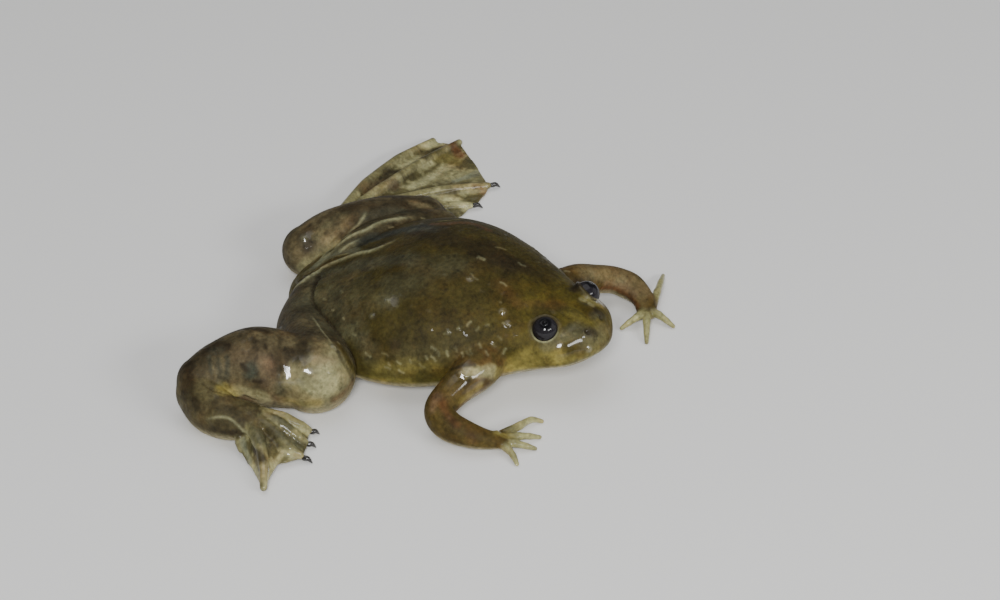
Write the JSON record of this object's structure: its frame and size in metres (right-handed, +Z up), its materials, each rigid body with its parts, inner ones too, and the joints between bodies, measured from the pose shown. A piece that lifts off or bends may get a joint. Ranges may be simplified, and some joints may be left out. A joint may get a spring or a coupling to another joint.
{
  "type": "african clawed frog",
  "caption": "Life-size still model of a smooth wet frog at rest, hind legs folded, one webbed foot spread behind, small dark claws on its inner toes.",
  "frame": {"origin": "middle of the footprint, on the floor that the frog rests on", "axes": "-Y is the way the head points, +X is the frog's left, +Z is up"},
  "size_m": [0.0882, 0.06, 0.0162],
  "materials": {
    "head_skin": "wet golden-olive skin",
    "back_skin": "wet dark olive-brown skin, mottled",
    "arm_skin": "wet reddish-brown skin",
    "finger_skin": "wet pale cream-green skin",
    "leg_skin": "wet grey-brown skin with dark bars",
    "web_skin": "thin wet web, greyish cream",
    "eye": "glossy black eye",
    "claw": "black horn claw"
  },
  "bodies": {
    "root": {"head": "head_skin", "torso": "back_skin", "eye_left": "eye", "upper_arm_left": "arm_skin", "forearm_left": "arm_skin", "hand_left": "finger_skin", "finger_left_1": "finger_skin", "finger_left_2": "finger_skin", "finger_left_3": "finger_skin", "finger_left_4": "finger_skin", "thigh_left": "leg_skin", "shank_left": "leg_skin", "ankle_left": "leg_skin", "foot_left": "web_skin", "claw_left_1": "claw", "claw_left_2": "claw", "claw_left_3": "claw", "eye_right": "eye", "upper_arm_right": "arm_skin", "forearm_right": "arm_skin", "hand_right": "finger_skin", "finger_right_1": "finger_skin", "finger_right_2": "finger_skin", "finger_right_3": "finger_skin", "finger_right_4": "finger_skin", "thigh_right": "leg_skin", "shank_right": "leg_skin", "ankle_right": "leg_skin", "foot_right": "web_skin", "claw_right_1": "claw", "claw_right_2": "claw", "claw_right_3": "claw"}
  },
  "joints": []
}
